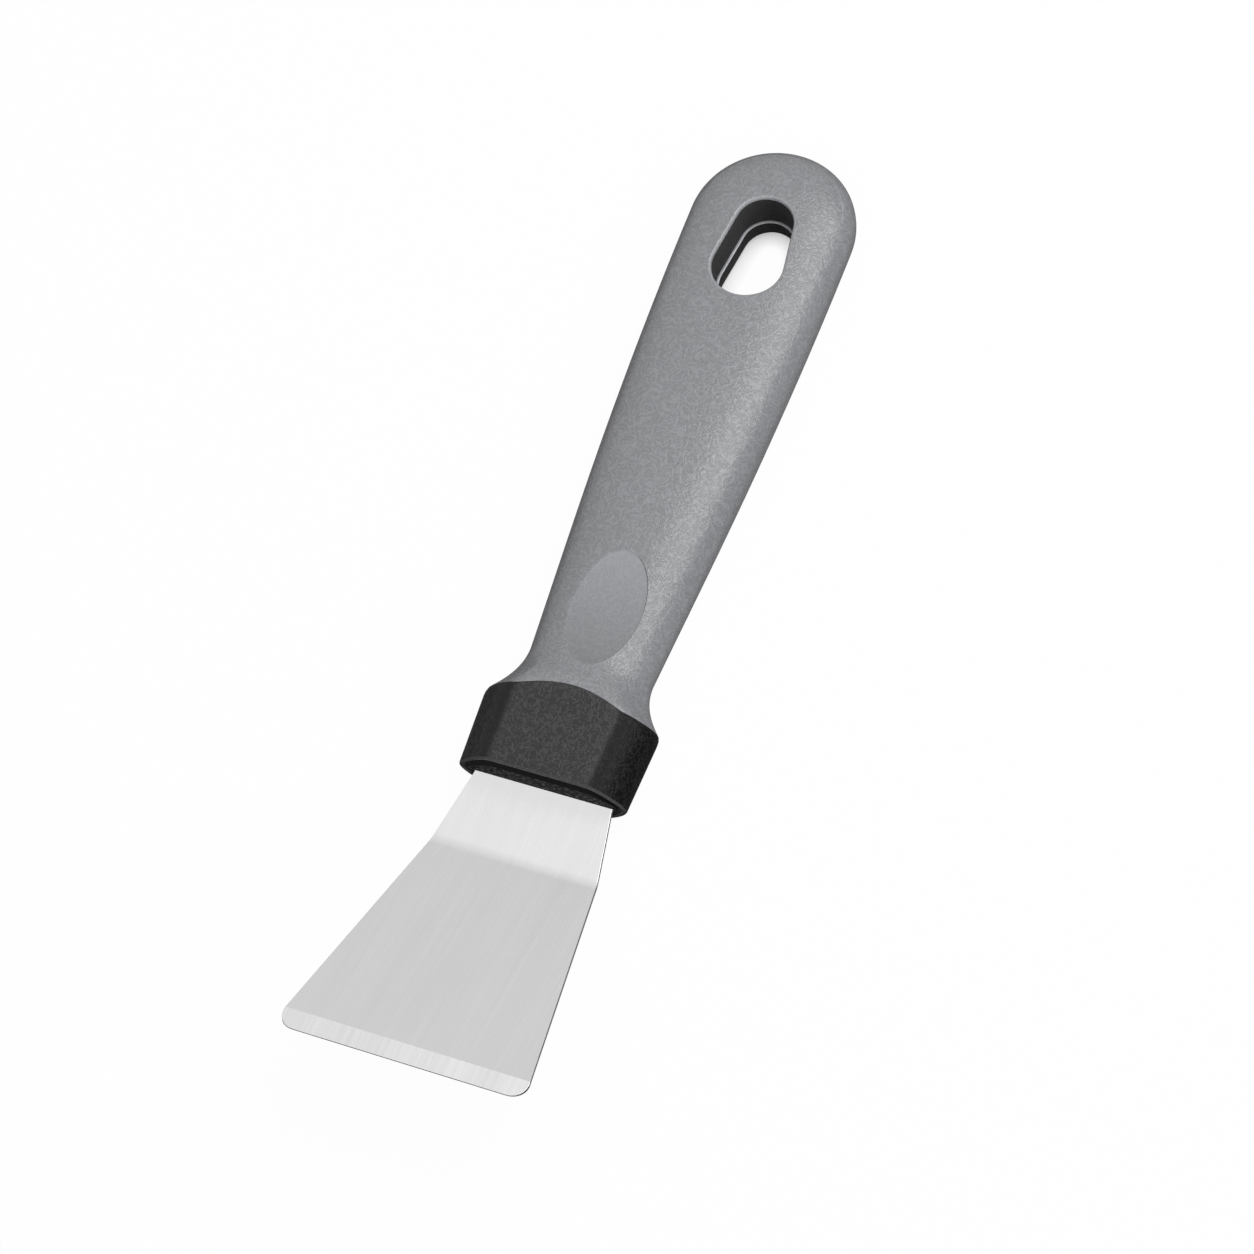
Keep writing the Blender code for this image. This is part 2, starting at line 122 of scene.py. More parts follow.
# Studio: a lamp, patches of soft light (direction, brightness, falloff) and the floor
LAMP_PLACE = (0.336, 0.459, 0.930)
LAMP_SIZE = 0.78
LAMP_ENERGY = 5.2
SOFT_PATCH = ((0.554, -0.601, 0.576), 1.04, 1.5)
SOFT_LEAST = 0.16
GLOSS_PATCHES = (((-0.485, 0.576, 0.659), 1.06, 1.27),
                 ((-0.338, -0.203, 0.919), 0.78, 7.2),
                 ((0.600, -0.620, 0.500), 0.85, 4.0))
WHITE = (1.0, 1.0, 1.0, 1.0)
FLOOR_WHITE = (0.95, 0.95, 0.95, 1.0)
FLOOR_SIZE = 12.0
FLOOR_DROP = 0.00002
FLOOR_GLOSS = 0.13
FLOOR_LIT = 0.97
HOLE_SHADOW = 0.8
SHADOW_REACH = 0.004

# Camera at the photograph's viewing angle
CAMERA_PLACE = (0.24761, -0.35669, 0.79809)
CAMERA_HEADING = radians(34.69)
CAMERA_TILT = radians(90.0 - 61.55)
CAMERA_ROLL = radians(-16.03)
CAMERA_LENS = 118.82
CAMERA_SENSOR = 36.0


def length(description, default):
    """A size in metres that a user can change."""
    return bpy.props.FloatProperty(description=description, default=default, min=0.0,
                                   precision=5, unit="LENGTH")


def share(description, default):
    """A plain number that a user can change."""
    return bpy.props.FloatProperty(description=description, default=default, min=0.0, precision=3)


def colour(description, default):
    """A colour that a user can change."""
    return bpy.props.FloatVectorProperty(description=description, default=default,
                                         subtype="COLOR", size=3, min=0.0, max=1.0)


class ScraperHandle(bpy.types.PropertyGroup):
    """Sizes of the collar, the core and the grip."""
    gap: length("Clearance between mouldings", 0.0003)
    joint_gap: length("Line between collar and grip", 0.00006)
    collar_length: length("Mouth to joint", 0.0189)
    collar_front_half: length("Half width at the mouth", 0.0194)
    collar_rear_half: length("Half width at the rear", 0.0203)
    corner_length: length("Length of the rounded rear corners", 0.0022)
    corner_drop: length("Draw of the rear corners", 0.0009)
    neck_half: length("Half the least width", 0.0143)
    flare_length: length("Flare behind the joint", 0.0113)
    flare_power: share("How fast the flare opens", 2.1)
    tail_half: length("Half the greatest width", 0.0193)
    tail_length: length("Length of the round tail", 0.0195)
    arch_rise: length("Rise of the joint's arch", 0.0028)
    arch_reach: share("Share of the width in the arch", 0.63)
    arch_power: share("How softly the arch starts", 1.2)
    arch_fade: length("Where the arch fades", 0.016)
    middle_height: length("Height of the middle plane", 0.0078)
    collar_rise: length("Collar over the middle", 0.0082)
    neck_rise: length("Neck over the middle", 0.0072)
    palm_rise: length("Palm swell over the middle", 0.0077)
    tail_rise: length("Tail over the middle", 0.0074)
    palm_from_front: length("Place of the palm swell", 0.088)
    crease: share("Where the collar's facet starts", 0.64)
    crease_softness: share("Rounding of the crease", 0.032)
    collar_crown: share("Crown of the collar's top", 0.01)
    collar_side_power: share("Flatness of the collar's facet", 0.6)
    section_power: share("Fullness of the grip's section", 2.6)
    neck_power: share("Fullness at the neck", 2.15)
    underside_flatness: share("Flatness of the underside", 1.06)
    outer_wall: length("Wall of collar and grip", 0.0020)
    lip_wall: length("Wall of the lip", 0.0011)
    lip_round: length("Radius outside the lip", 0.0006)
    joint_round: length("Radius along the joint", 0.00016)
    mouth_depth: length("Depth of the thin lip", 0.0030)
    seat_setback: length("Mouth to seat", 0.0002)
    seat_rise: length("Seat over the middle", 0.0040)
    seat_fall: length("Seat under the middle", 0.0045)


class ScraperHole(bpy.types.PropertyGroup):
    """Sizes of the hanging hole and the thumb dish."""
    from_tail: length("Tail to the narrow centre", 0.0225)
    spread: length("Between the two centres", 0.0111)
    wide_radius: length("Radius of the wide end", 0.0082)
    narrow_radius: length("Radius of the narrow end", 0.0067)
    ledge: length("Ledge of the core's lower half", 0.0004)
    rim_lip: length("Grip over the lining", 0.0009)
    rim_round: length("Radius of the rims", 0.0008)
    eyelet_wall: length("Wall of the lining", 0.0014)
    eyelet_stock: length("Stock that the hole cuts away", 0.0017)
    dish_from_front: length("Collar's front to the dish", 0.0419)
    dish_half_length: length("Half the dish's length", 0.0142)
    dish_half_width: length("Half the dish's width", 0.0081)
    dish_depth: length("Depth in the middle", 0.00122)
    dish_step: length("Step round the dish", 0.00014)
    bead_height: length("Bead in the parting line", 0.00016)
    bead_reach: length("Reach of the bead", 0.00022)


class ScraperBlade(bpy.types.PropertyGroup):
    """Sizes of the blade."""
    thickness: length("Thickness of the sheet", 0.0012)
    below_middle: length("Neck under the middle plane", 0.0010)
    neck_half: length("Half width at the collar", 0.0159)
    bend_half: length("Half width at the bend", 0.0190)
    edge_half: length("Half width at the edge", 0.0278)
    neck_length: length("Collar to bend", 0.0172)
    face_length: length("Bend to edge", 0.0600)
    bend_angle: bpy.props.FloatProperty(description="Bend of the face", subtype="ANGLE",
                                        default=radians(21.5))
    bend_radius: length("Radius inside the bend", 0.0080)
    corner_radius: length("Radius of the front corners", 0.0036)
    bevel_length: length("Width of the bevel", 0.0043)
    bevel_edge: length("Thickness at the edge", 0.0003)
    edge_round: length("Softening of the outline", 0.00008)
    shoulder_depth: length("Depth of the shoulders", 0.0090)
    shoulder_slope: length("Slope of the shoulders", 0.0006)
    shoulder_fillet: length("Radius where the tang starts", 0.0030)
    tang_length: length("Length of the tang", 0.0780)
    tang_root_half: length("Half width of the tang's root", 0.0085)
    tang_tip_half: length("Half width of the tang's tip", 0.0060)
    tang_hole_radius: length("Radius of the tang's holes", 0.0030)
    tang_hole_near: length("Depth of the nearer hole", 0.0270)
    tang_hole_far: length("Depth of the farther hole", 0.0580)
    post_reach: length("Posts under the parting", 0.0026)


class ScraperFinish(bpy.types.PropertyGroup):
    """Colours and grain of the finishes and the stage."""
    steel: colour("Brushed sheet steel", (0.635, 0.635, 0.64))
    black: colour("Moulded black plastic", (0.0022, 0.0022, 0.0024))
    core_black: colour("Rougher black inside", (0.055, 0.055, 0.056))
    grey: colour("Soft grey overmould", (0.272, 0.275, 0.289))
    floor: colour("Floor as the object sees it", (0.42, 0.42, 0.42))
    grip_grain: length("Size of the grip's grain", 0.0008)
    collar_grain: length("Size of the collar's grain", 0.0012)


def blend(start, end, part):
    """Eased step from start to end, with part clamped to 0..1."""
    part = min(max(part, 0.0), 1.0)
    return start + (end - start) * (0.5 - 0.5 * cos(pi * part))


def steps_to(start, end, count):
    """Evenly spaced values after start, up to and including end."""
    return [start + (end - start) * step / count for step in range(1, count + 1)]


def steps_from(start, end, count):
    """Evenly spaced values from start, up to and including end."""
    return [start] + steps_to(start, end, count)


def quarter_turn():
    """Angles of a rounding."""
    return steps_from(0.0, RIGHT_ANGLE, ROUND_STEPS)


class HandleForm:
    """Outline and section of the handle."""

    def __init__(self):
        self.s = s = bpy.context.scene.scraper_handle
        self.hole = bpy.context.scene.scraper_hole
        self.neck_y = s.collar_length + s.flare_length
        self.tail_y = HANDLE_LENGTH - s.tail_length
        self.collar_end = s.collar_length - 0.5 * s.joint_gap
        self.grip_start = s.collar_length + 0.5 * s.joint_gap
        self.seat_end = s.mouth_depth + s.gap
        self.core_inset = s.outer_wall + s.gap

    def corner_cut(self, part):
        """How far the collar's rear corners are drawn in, at a share of their length."""
        return self.s.corner_drop * (1.0 - sqrt(1.0 - CORNER_SWEEP * part ** 2))

    def half_width(self, y):
        """Half width of the handle at y, up to where the round tail starts."""
        s = self.s
        if y <= s.collar_length:
            widening = s.collar_rear_half - s.collar_front_half
            corner = self.corner_cut(max(1.0 - (s.collar_length - y) / s.corner_length, 0.0))
            return s.collar_front_half + widening * y / s.collar_length - corner
        if y < self.neck_y:
            part = (self.neck_y - y) / s.flare_length
            joint_half = s.collar_rear_half - self.corner_cut(1.0)
            return s.neck_half + (joint_half - s.neck_half) * part ** s.flare_power
        part = min((y - self.neck_y) / (self.tail_y - self.neck_y), 1.0)
        return s.neck_half + (s.tail_half - s.neck_half) * sin(RIGHT_ANGLE * part)

    def top_rise(self, y):
        """Height of the handle's top over its middle plane."""
        s = self.s
        if y <= self.neck_y:
            return blend(s.collar_rise, s.neck_rise, (y - s.collar_length) / s.flare_length)
        if y <= s.palm_from_front:
            part = (y - self.neck_y) / (s.palm_from_front - self.neck_y)
            return blend(s.neck_rise, s.palm_rise, part)
        part = (y - s.palm_from_front) / (self.tail_y - s.palm_from_front)
        return blend(s.palm_rise, s.tail_rise, part)

    def past_crease(self, reach):
        """Share of the collar's side facet inside a point, with a rounded crease."""
        crease, softness = self.s.crease, self.s.crease_softness
        past, end = (softness * log1p(exp((place - crease) / softness)) for place in (reach, 1.0))
        return min(past / end, 1.0)

    def section_shape(self, reach, y):
        """Shares of the rise and of the fall at a share of the half width."""
        s = self.s
        collar = (1.0 - self.past_crease(reach)) ** s.collar_side_power
        crown = 1.0 - s.collar_crown * min(reach / s.crease, 1.0) ** 2
        power = blend(s.neck_power, s.section_power,
                      (y - self.neck_y) / (s.palm_from_front - self.neck_y))
        grip = max(1.0 - reach ** power, 0.0) ** (1.0 / power)
        underside = min(grip * s.underside_flatness, 1.0)
        part = (y - s.collar_length) / s.flare_length
        return blend(collar * crown, grip, part), blend(collar, underside, part)

    def arch(self, reach, y):
        """How far the joint's arch draws a point of the station y back."""
        s = self.s
        if reach >= s.arch_reach:
            return 0.0
        bulge = s.arch_rise * (1.0 - (reach / s.arch_reach) ** 2) ** s.arch_power
        if y <= s.collar_length:
            return bulge * blend(0.0, 1.0, (y - self.seat_end) / (s.collar_length - self.seat_end))
        return bulge * blend(1.0, 0.0, (y - s.collar_length) / s.arch_fade)

    def ring(self, y, inset=0.0, rise=None, fall=None):
        """Closed loop of places round the handle at y, drawn in by inset."""
        s = self.s
        half = self.half_width(y) - inset
        rise = self.top_rise(y) - inset if rise is None else rise
        fall = s.middle_height - inset if fall is None else fall
        loop = []
        for step in range(RING_POINTS):
            angle = 2.0 * pi * step / RING_POINTS
            reach = min(abs(cos(angle)) ** (2.0 / s.section_power), 1.0)
            up, down = self.section_shape(reach, y)
            height = rise * up if step <= RING_POINTS // 2 else -fall * down
            loop.append(Vector((copysign(half * reach, cos(angle)),
                                FRONT_Y + y + self.arch(reach, y), s.middle_height + height)))
        return loop

    def rounded_start(self, y, radius):
        """Outlines of a moulding's rounded front, which starts at y."""
        return [self.ring(y + radius * (1.0 - cos(angle)), radius * (1.0 - sin(angle)))
                for angle in quarter_turn()]

    def stations(self):
        """Stations from the joint to where the round tail starts."""
        flare = steps_to(self.grip_start + self.s.joint_round, self.neck_y, FLARE_STEPS)
        return flare + steps_to(self.neck_y, self.tail_y, SHAFT_STEPS)

    def surface_height(self, x, y, side):
        """Height of the grip's top (side 1) or underside (side -1) behind the joint."""
        s = self.s
        if y <= self.tail_y:
            reach = abs(x) / self.half_width(y)
        else:
            reach = hypot(x / s.tail_half, (y - self.tail_y) / s.tail_length)
        station = min(y, self.tail_y)
        up, down = self.section_shape(min(reach, 1.0), station)
        if side > 0:
            return s.middle_height + self.top_rise(station) * up
        return s.middle_height * (1.0 - down)

    def slot_outline(self, offset):
        """Outline of the hanging hole, drawn out by offset: two arcs."""
        h = self.hole
        wide, narrow = h.wide_radius + offset, h.narrow_radius + offset
        narrow_y = HANDLE_LENGTH - h.from_tail
        tilt = asin((wide - narrow) / h.spread)
        arcs = ((narrow_y, narrow, tilt, pi - tilt),
                (narrow_y - h.spread, wide, pi - tilt, 2.0 * pi + tilt))
        return [(radius * cos(angle), centre + radius * sin(angle))
                for centre, radius, first, last in arcs
                for angle in steps_from(first, last, SLOT_STEPS)]

    def slot_ring(self, offset, side, above):
        """Loop of the hole's outline over the grip's top, or under its underside."""
        return [Vector((x, FRONT_Y + y, self.surface_height(x, y, side) + side * above))
                for x, y in self.slot_outline(offset)]

    def flat_slot(self, offset, height):
        """Loop of the hole's outline at one height."""
        return [Vector((x, FRONT_Y + y, height)) for x, y in self.slot_outline(offset)]


class BladeForm:
    """Flat outline of the blade, and its bend."""

    def __init__(self):
        self.b = b = bpy.context.scene.scraper_blade
        self.top = bpy.context.scene.scraper_handle.middle_height - b.below_middle
        self.total = b.neck_length + b.face_length
        self.bend_start = b.neck_length - 0.5 * b.bend_radius * b.bend_angle
        self.bend_end = self.bend_start + b.bend_radius * b.bend_angle
        self.bevel_start = self.total - b.bevel_length

    def half_at(self, travelled):
        """Half width at a distance ahead of the collar."""
        b = self.b
        if travelled <= b.neck_length:
            return b.neck_half + (b.bend_half - b.neck_half) * travelled / b.neck_length
        part = (travelled - b.neck_length) / b.face_length
        return b.bend_half + (b.edge_half - b.bend_half) * part

    def top_at(self, travelled):
        """Y and Z of the blade's top at a distance ahead of the collar."""
        b = self.b
        turn = min(max(travelled - self.bend_start, 0.0) / b.bend_radius, b.bend_angle)
        beyond = max(travelled - self.bend_end, 0.0)
        run = min(travelled, self.bend_start)
        run += b.bend_radius * sin(turn) + beyond * cos(turn)
        climb = b.bend_radius * (1.0 - cos(turn)) + beyond * sin(turn)
        return FRONT_Y - run, self.top + climb

    def tang_rows(self, grow=0.0):
        """Y, Z and half width along the tang, from its tip to its shoulders."""
        b = self.b
        tip = b.tang_length - b.tang_tip_half
        rows = [(tip + b.tang_tip_half * cos(angle), b.tang_tip_half * sin(angle))
                for angle in steps_to(0.0, RIGHT_ANGLE, FILLET_STEPS)]
        rows += [(b.shoulder_depth + b.shoulder_fillet * (1.0 - sin(angle)),
                  b.tang_root_half + b.shoulder_fillet * (1.0 - cos(angle)))
                 for angle in steps_from(0.0, RIGHT_ANGLE, FILLET_STEPS)]
        rows.append((b.shoulder_depth - b.shoulder_slope, b.neck_half))
        return [(FRONT_Y + depth + grow, self.top, half + grow) for depth, half in rows]

    def blade_rows(self):
        """Y, Z and half width along the blade, from the collar to the edge."""
        curve = steps_from(self.bend_start, self.bend_end, BEND_STEPS)
        stations = [0.0, *curve, self.bevel_start, self.total]
        return [(*self.top_at(station), self.half_at(station)) for station in stations]


def deselect_all():
    """Leave edit mode, and leave nothing selected."""
    if bpy.context.object and bpy.context.object.mode != "OBJECT":
        bpy.ops.object.mode_set(mode="OBJECT")
    bpy.ops.object.select_all(action="DESELECT")


def work_on(piece):
    """Make a piece the only selected object, and the active one."""
    deselect_all()
    piece.select_set(True)
    bpy.context.view_layer.objects.active = piece


def edit_points(piece):
    """Open a piece in edit mode, to work on its points."""
    work_on(piece)
    bpy.ops.object.mode_set(mode="EDIT")
    bpy.ops.mesh.select_mode(type="VERT")


def add_object(name, add, **settings):
    """Add an object with one of Blender's operators, and name it."""
    deselect_all()
    add(**settings)
    bpy.context.object.name = name
    return bpy.context.object


def apply_modifier(piece, kind, **settings):
    """Add a modifier to a piece, and apply it."""
    work_on(piece)
    bpy.ops.object.modifier_add(type=kind)
    modifier = piece.modifiers[-1]
    for name, value in settings.items():
        setattr(modifier, name, value)
    bpy.ops.object.modifier_apply(modifier=modifier.name)


def select_points(test):
    """In edit mode, select only the points for which test(place) is true."""
    bpy.ops.mesh.select_all(action="DESELECT")
    builder = bmesh.from_edit_mesh(bpy.context.object.data)
    for vert in builder.verts:
        vert.select = test(vert.co)
    builder.select_flush(True)
    bmesh.update_edit_mesh(bpy.context.object.data)


def place_ring(places):
    """Move the selected ring's points to places in their order."""
    builder = bmesh.from_edit_mesh(bpy.context.object.data)
    order = builder.verts.layers.int["order"]
    for vert in builder.verts:
        if vert.select:
            vert.co = places[vert[order]]
    bmesh.update_edit_mesh(bpy.context.object.data)


def start_ring(name, places, fill="NOTHING"):
    """Add a circle with a point for each place, and stay in edit mode."""
    piece = add_object(name, bpy.ops.mesh.primitive_circle_add, vertices=len(places),
                       radius=START_RADIUS, fill_type=fill)
    edit_points(piece)
    builder = bmesh.from_edit_mesh(piece.data)
    order = builder.verts.layers.int.new("order")
    for number, vert in enumerate(builder.verts):
        vert[order] = number
    place_ring(places)
    return piece


def extrude_rings(rings):
    """Extrude the selected ring once for each outline."""
    for places in rings:
        bpy.ops.mesh.extrude_region_move()
        place_ring(places)


def weld(distance):
    """In edit mode, join points that lie together, and leave all selected."""
    bpy.ops.mesh.select_all(action="SELECT")
    bpy.ops.mesh.remove_doubles(threshold=distance)
    bpy.ops.mesh.select_all(action="SELECT")


def close_seams():
    """Join points that lie together, turn the faces outwards, and leave edit mode."""
    weld(MERGE_DISTANCE)
    bpy.ops.mesh.normals_make_consistent(inside=False)
    bpy.ops.object.mode_set(mode="OBJECT")


def loft(name, rings, closed=False):
    """Extrude a ring along outlines, with a cap at both ends, or closed to a tube."""
    piece = start_ring(name, rings[0], "NOTHING" if closed else "NGON")
    extrude_rings(rings[1:] + rings[:1] if closed else rings[1:])
    close_seams()
    return piece


def eyelet(name, form, reach, above):
    """Tube round the hanging hole, with its ends over the grip's two faces."""
    stock = -form.hole.eyelet_stock
    corners = ((stock, -1), (reach, -1), (reach, 1), (stock, 1))
    return loft(name, [form.slot_ring(offset, side, above) for offset, side in corners],
                closed=True)


def spin_tail(form, inset):
    """Spin the right half of the last ring round the tail, and draw it to its length."""
    end = FRONT_Y + form.tail_y
    select_points(lambda co: abs(co.y - end) < MERGE_DISTANCE and co.x > -MERGE_DISTANCE)
    bpy.ops.mesh.spin(steps=TAIL_STEPS, angle=pi, center=(0.0, end, 0.0), axis=(0.0, 0.0, -1.0))
    draw_out = (form.s.tail_length - inset) / (form.s.tail_half - inset)
    select_points(lambda co: co.y > end + MERGE_DISTANCE)
    bpy.ops.transform.resize(value=(1.0, draw_out, 1.0), center_override=(0.0, end, 0.0))


def handle_skin(name, form, inset, front, solid=False):
    """Skin of the handle from its front outlines to the tail, drawn in by inset."""
    piece = start_ring(name, front[0], "NGON" if solid else "NOTHING")
    extrude_rings(front[1:] + [form.ring(y, inset) for y in form.stations()])
    if solid:
        bpy.ops.mesh.delete(type="ONLY_FACE")
    spin_tail(form, inset)
    close_seams()
    return piece


def sheet(name, rows):
    """Extrude a plane's edge along rows of Y, Z and half width, and stay in edit mode."""
    y, z, half = rows[0]
    piece = add_object(name, bpy.ops.mesh.primitive_plane_add, size=2.0 * half,
                       location=(0.0, y - half, z))
    bpy.ops.object.transform_apply(location=True)
    edit_points(piece)
    select_points(lambda co: co.y < y - half)
    moved_y = y - 2.0 * half
    for number, (next_y, next_z, next_half) in enumerate(rows[1:]):
        if number > 0:
            bpy.ops.mesh.extrude_region_move()
            moved_y = y
        bpy.ops.transform.translate(value=(0.0, next_y - moved_y, next_z - z))
        bpy.ops.transform.resize(value=(next_half / half, 1.0, 1.0),
                                 center_override=(0.0, next_y, next_z))
        y, z, half = next_y, next_z, next_half
    return piece


def carve(piece, cutter, operation="DIFFERENCE"):
    """Apply a Boolean with a cutter, remove the cutter, and weld the cut."""
    apply_modifier(piece, "BOOLEAN", operation=operation, solver="EXACT", object=cutter)
    bpy.data.objects.remove(cutter, do_unlink=True)
    edit_points(piece)
    weld(CUT_MERGE_DISTANCE)
    bpy.ops.mesh.fill_holes(sides=4)
    bpy.ops.object.mode_set(mode="OBJECT")


def round_post(name, y, radius, bottom, top):
    """Upright cylinder at X = 0, used as a cutter or an added post."""
    return add_object(name, bpy.ops.mesh.primitive_cylinder_add, vertices=POST_SIDES,
                      radius=radius, depth=top - bottom,
                      location=(0.0, FRONT_Y + y, 0.5 * (top + bottom)))


def block(name, centre, size, turn=0.0):
    """Box used as a cutter, turned about the X axis."""
    cutter = add_object(name, bpy.ops.mesh.primitive_cube_add, size=1.0, location=centre,
                        rotation=(turn, 0.0, 0.0))
    cutter.scale = size
    bpy.ops.object.transform_apply(location=True, rotation=True, scale=True)
    return cutter


def shade(piece, angle=SMOOTH_ANGLE):
    """Shade a piece smooth up to an angle, and drop its modelling marks."""
    work_on(piece)
    if "order" in piece.data.attributes:
        piece.data.attributes.remove(piece.data.attributes["order"])
    bpy.ops.object.shade_smooth_by_angle(angle=angle, keep_sharp_edges=True)


def hand_over(piece, finish, slot, *nodes):
    """Give a piece its material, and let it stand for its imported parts."""
    piece.data.materials.clear()
    piece.data.materials.append(finish)
    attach(piece, "root")
    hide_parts(*nodes)


def maths(operation, swapped=False):
    """A method that adds a Math node, with its own signal last when swapped."""
    def method(signal, *others):
        values = (*others, signal) if swapped else (signal, *others)
        return signal.nodes.add("ShaderNodeMath", values, operation=operation)
    return method


class Signal:
    """A shader socket used in expressions: each step adds a node."""

    def __init__(self, nodes, socket):
        self.nodes = nodes
        self.socket = socket

    __add__ = __radd__ = maths("ADD")
    __sub__ = maths("SUBTRACT")
    __rsub__ = maths("SUBTRACT", swapped=True)
    __mul__ = __rmul__ = maths("MULTIPLY")
    __truediv__ = maths("DIVIDE")
    __pow__ = maths("POWER")
    __abs__ = maths("ABSOLUTE")
    at_least = maths("MAXIMUM")
    wave = maths("SINE")

    def clamp(self):
        """The signal held between 0 and 1."""
        return self.nodes.add("ShaderNodeClamp", [self])

    def fade(self, low, high):
        """Eased step from 0 at low to 1 at high."""
        return self.nodes.add("ShaderNodeMapRange", interpolation_type="SMOOTHSTEP",
                              sockets={"Value": self, "From Min": low, "From Max": high})

    def outside(self, low, high):
        """Eased step from 1 at low to 0 at high."""
        return 1 - self.fade(low, high)


def around(middle, *layers):
    """A value that noises of 0..1 move round its middle, each by its own share."""
    for noise, part in layers:
        middle = middle + (noise - 0.5) * part
    return middle


class Nodes:
    """A node tree that is filled one node at a time."""

    def __init__(self, tree):
        self.tree = tree

    def add(self, kind, sockets=(), output=0, **settings):
        """Add a node with its settings, and the values and links of its sockets."""
        node = self.tree.nodes.new(kind)
        for name, value in settings.items():
            setattr(node, name, value)
        for name, value in sockets.items() if isinstance(sockets, dict) else enumerate(sockets):
            self.feed(node.inputs[name], value)
        return Signal(self, node.outputs[output])

    def feed(self, socket, value):
        """Link a signal to a socket, or set the socket's own value."""
        if isinstance(value, Signal):
            self.tree.links.new(value.socket, socket)
        else:
            socket.default_value = value

    def backdrop_rays(self):
        """Mask of camera rays, and mask of all the rays that show the white backdrop."""
        camera, glossy, through = (self.add("ShaderNodeLightPath", output=f"Is {kind} Ray")
                                   for kind in ("Camera", "Glossy", "Transmission"))
        return camera, camera + glossy + through


class Finish(Nodes):
    """A material with one Principled shader."""

    def __init__(self, name, roughness, metallic=0.0):
        self.material = bpy.data.materials.new(name)
        self.material.use_nodes = True
        super().__init__(self.material.node_tree)
        self.shader = self.tree.nodes["Principled BSDF"]
        self.set(Roughness=roughness, Metallic=metallic)
        self.place = self.add("ShaderNodeTexCoord", output="Object")

    def set(self, **values):
        """Set or link sockets of the shader, named with _ for a space."""
        for name, value in values.items():
            self.feed(self.shader.inputs[name.replace("_", " ")], value)

    def axis(self, number):
        """One coordinate of the place on the piece, in metres."""
        return self.add("ShaderNodeSeparateXYZ", [self.place], output=number)

    def depth(self):
        """Distance behind the front of the collar, in metres."""
        return self.axis(1) - FRONT_Y

    def facing(self, number):
        """One part of the surface's direction."""
        normal = self.add("ShaderNodeNewGeometry", output="Normal")
        return self.add("ShaderNodeSeparateXYZ", [normal], output=number)

    def past_hole(self, hole):
        """Distance outside the hanging hole's outline, in metres."""
        middle_y = FRONT_Y + HANDLE_LENGTH - hole.from_tail
        part = ((middle_y - self.axis(1)) / hole.spread).clamp()
        away = self.axis(1) - middle_y + part * hole.spread
        distance = (self.axis(0) ** 2 + away ** 2) ** 0.5
        return distance - part * (hole.wide_radius - hole.narrow_radius) - hole.narrow_radius

    def noise(self, sizes, detail=2.0, roughness=0.5, distortion=0.0):
        """Noise whose features have one size, or three along X, Y and Z."""
        if isinstance(sizes, float):
            sizes = (sizes, sizes, sizes)
        scale = tuple(1.0 / size if size else 0.0 for size in sizes)
        vector = self.add("ShaderNodeMapping", {"Vector": self.place, "Scale": scale})
        return self.add("ShaderNodeTexNoise", {
            "Vector": vector, "Scale": 1.0, "Detail": detail, "Roughness": roughness,
            "Distortion": distortion})

    def worms(self, size, thinness):
        """Thin curling strokes, which are 1 along their middle and 0 beside them."""
        return (1 - abs(self.noise(size, 1.0, 0.5, 0.8) - 0.5) * thinness).at_least(0.0)

    def tint(self, base, amount):
        """Base colour lightened or darkened by a signal round 1."""
        return self.add("ShaderNodeVectorMath", {"Vector": tuple(base), "Scale": amount},
                        operation="SCALE")

    def bump(self, height, distance, strength=1.0):
        """Normal raised by a height signal of 0..1 over a distance in metres."""
        self.set(Normal=self.add("ShaderNodeBump", {
            "Height": height, "Distance": distance, "Strength": strength}))


def steel_finish(blade):
    """Satin steel brushed along the blade, brighter on the ground bevel, with painted light on the
    sheet's thin sideways-facing sides.
    """
    finish = Finish("steel_satin", 0.3, 1.0)
    fine = finish.noise(FINE_BRUSH, 2.0, 0.6)
    broad = finish.noise(BROAD_BRUSH)
    cloud = finish.noise(STEEL_CLOUD)
    grind = finish.noise(GRINDING, 2.0, 0.6)
    band = finish.noise(GRINDING_BAND, 1.0)
    line_y = blade.top_at(blade.bevel_start)[0]
    ground = finish.axis(1).outside(line_y - BEVEL_FADE, line_y + BEVEL_FADE)
    # Painted light: faces that turn sideways, the sheet's thin sides, are made lighter
    painted_edge_light = abs(finish.facing(2)).outside(0.3, 0.8)
    satin_and_edge_light = around(1.0, (fine, 0.12), (broad, 0.08), (cloud, 0.04)) + painted_edge_light * 0.5
    worked = around(1.0, (grind, 0.24), (band, 0.16))
    steel = bpy.context.scene.scraper_finish.steel
    finish.set(Base_Color=finish.tint(steel, satin_and_edge_light + ground * (worked - satin_and_edge_light)),
               Roughness=around(0.26, (fine, 0.10), (broad, 0.06)) + ground * 0.03)
    finish.bump(fine + ground * (grind - fine), 0.000005, 0.4)
    return finish.material


